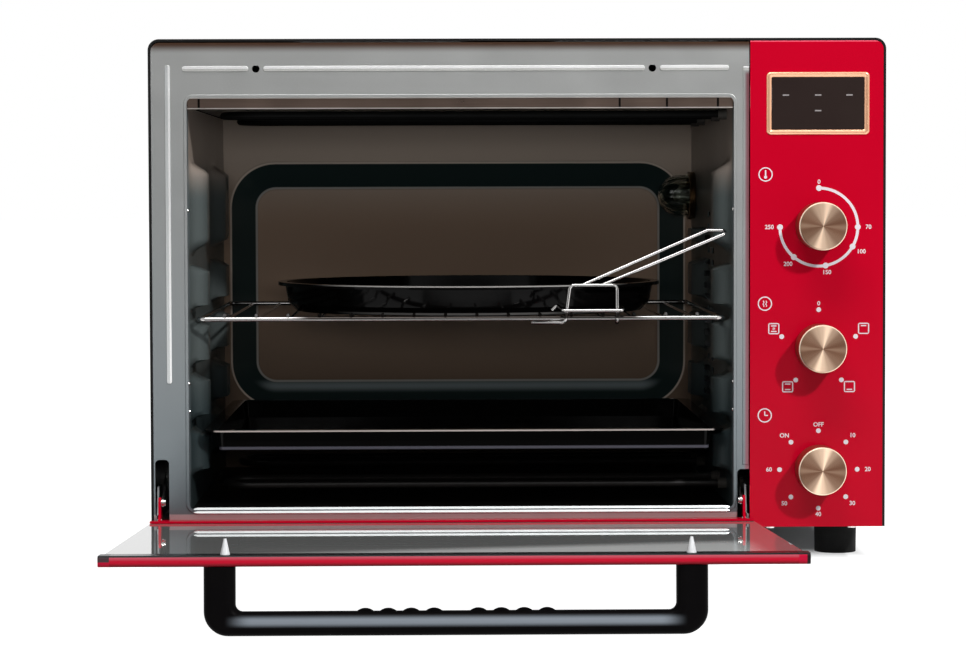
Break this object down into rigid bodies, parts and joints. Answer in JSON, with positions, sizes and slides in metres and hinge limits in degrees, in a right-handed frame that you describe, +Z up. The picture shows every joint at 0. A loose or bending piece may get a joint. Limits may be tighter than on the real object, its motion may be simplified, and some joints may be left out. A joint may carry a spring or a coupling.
{
  "type": "countertop convection oven",
  "caption": "Countertop convection oven with a drop-down glass door, dials and display beside the cavity, wire rack, round pan, baking tray and wire gripper.",
  "frame": {"origin": "on the table, under the middle of the whole oven with its door open", "axes": "+X to the user's right along the front, +Y from the user towards the back, +Z up"},
  "size_m": [0.6, 0.8318, 0.431],
  "materials": {
    "casing_black": "semi-gloss black stove paint",
    "zinc_sheet": "zinc coated sheet",
    "frame_silver": "satin silver paint",
    "cavity_enamel": "dark grey-brown glossy enamel on sheet steel",
    "shield_steel": "bright sheet steel",
    "element_steel": "dark sheathed heating tube",
    "bushing_ceramic": "unglazed steatite",
    "lamp_glass": "clear ribbed heat-resistant glass",
    "bulb_glass": "frosted bulb glass",
    "motor_steel": "laminated motor core",
    "red_paint": "glossy metallic red lacquer",
    "rose_gold": "rose gold anodised, spun",
    "dark_glass": "smoked window",
    "board_plastic": "black display carrier",
    "bright_steel": "nickel-plated steel",
    "control_plastic": "black phenolic",
    "door_glass": "dark tempered glass with a mirror shine",
    "black_plastic": "satin black heat-resistant plastic",
    "clear_silicone": "translucent white silicone",
    "rack_chrome": "chrome-plated wire",
    "pan_enamel": "glossy black enamel",
    "foot_rubber": "black rubber"
  },
  "bodies": {
    "oven": {"outer_casing": "casing_black", "rear_panel": "casing_black", "base_plate": "zinc_sheet", "front_frame": "frame_silver", "cavity_left_wall": "cavity_enamel", "cavity_right_wall": "cavity_enamel", "cavity_ceiling": "cavity_enamel", "cavity_floor": "cavity_enamel", "cavity_back_wall": "cavity_enamel", "upper_heat_shield": "shield_steel", "lower_front_element": "element_steel", "lower_rear_element": "element_steel", "upper_front_element": "element_steel", "upper_rear_element": "element_steel", "element_bushings": "bushing_ceramic", "lamp_glass": "lamp_glass", "lamp_ring": "shield_steel", "lamp_socket": "bushing_ceramic", "lamp_bulb": "bulb_glass", "fan_housing": "zinc_sheet", "fan_motor": "motor_steel", "control_panel": "red_paint", "display_bezel": "rose_gold", "display_window": "dark_glass", "display_board": "board_plastic", "thermostat": "control_plastic", "mode_switch": "control_plastic", "timer_mechanism": "control_plastic", "hinge_bracket_left": "zinc_sheet", "hinge_bracket_right": "zinc_sheet", "foot_front_left": "foot_rubber", "foot_back_left": "foot_rubber", "foot_front_right": "foot_rubber", "foot_back_right": "foot_rubber", "foot_screws": "bright_steel", "rear_screws": "bright_steel", "panel_screws": "bright_steel", "cord_gland": "black_plastic", "terminal_block": "control_plastic"},
    "door": {"door_glass": "door_glass", "door_top_trim": "red_paint", "door_bottom_trim": "red_paint", "end_caps": "black_plastic", "door_handle": "black_plastic", "handle_screws": "bright_steel", "screw_caps": "clear_silicone", "link_pins": "bright_steel"},
    "left_link": {"door_link_left": "bright_steel"},
    "right_link": {"door_link_right": "bright_steel"},
    "temperature_control": {"temperature_knob": "rose_gold", "temperature_shaft": "bright_steel"},
    "mode_control": {"mode_knob": "rose_gold", "mode_shaft": "bright_steel"},
    "timer_control": {"timer_knob": "rose_gold", "timer_shaft": "bright_steel"},
    "rack": {"wire_rack": "rack_chrome"},
    "pan": {"round_pan": "pan_enamel"},
    "gripper": {"pan_gripper": "rack_chrome"},
    "tray": {"baking_tray": "pan_enamel"},
    "fan": {"fan_blade": "zinc_sheet"}
  },
  "joints": [
    {"name": "door_hinge", "type": "hinge", "parent": "oven", "child": "door", "pos_m": [-0.0543, -0.03909, 0.0395], "axis": [-1, 0, 0], "range_deg": [0, 87.29]},
    {"name": "left_link_pivot", "type": "hinge", "parent": "door", "child": "left_link", "pos_m": [-0.29, -0.03987, 0.05455], "axis": [-1, 0, 0], "range_deg": [-118.15, 0]},
    {"name": "right_link_pivot", "type": "hinge", "parent": "door", "child": "right_link", "pos_m": [0.1814, -0.03987, 0.05455], "axis": [-1, 0, 0], "range_deg": [-118.15, 0]},
    {"name": "temperature_turn", "type": "hinge", "parent": "oven", "child": "temperature_control", "pos_m": [0.2453, -0.03609, 0.2781], "axis": [0, 1, 0], "range_deg": [0, 270]},
    {"name": "mode_turn", "type": "hinge", "parent": "oven", "child": "mode_control", "pos_m": [0.2453, -0.03609, 0.179], "axis": [0, 1, 0], "range_deg": [0, 288]},
    {"name": "timer_turn", "type": "hinge", "parent": "oven", "child": "timer_control", "pos_m": [0.2453, -0.03609, 0.0799], "axis": [0, 1, 0], "range_deg": [-45, 270]},
    {"name": "rack_slide", "type": "slide", "parent": "oven", "child": "rack", "axis": [0, 1, 0], "range_m": [-0.25, 0]},
    {"name": "pan_lift", "type": "slide", "parent": "rack", "child": "pan", "axis": [0, 0, 1], "range_m": [0, 0.04]},
    {"name": "gripper_tilt", "type": "hinge", "parent": "rack", "child": "gripper", "pos_m": [0.0596, -0.03209, 0.2034], "axis": [-1, 0, 0], "range_deg": [-40, 0]},
    {"name": "tray_slide", "type": "slide", "parent": "oven", "child": "tray", "axis": [0, 1, 0], "range_m": [-0.25, 0]},
    {"name": "fan_spin", "type": "hinge", "parent": "oven", "child": "fan", "pos_m": [0.1772, 0.16391, 0.194], "axis": [1, 0, 0], "continuous": true}
  ],
  "couplings": [
    {"joint": "left_link_pivot", "follows": "door_hinge", "ratio": -1.353},
    {"joint": "right_link_pivot", "follows": "door_hinge", "ratio": -1.353}
  ]
}
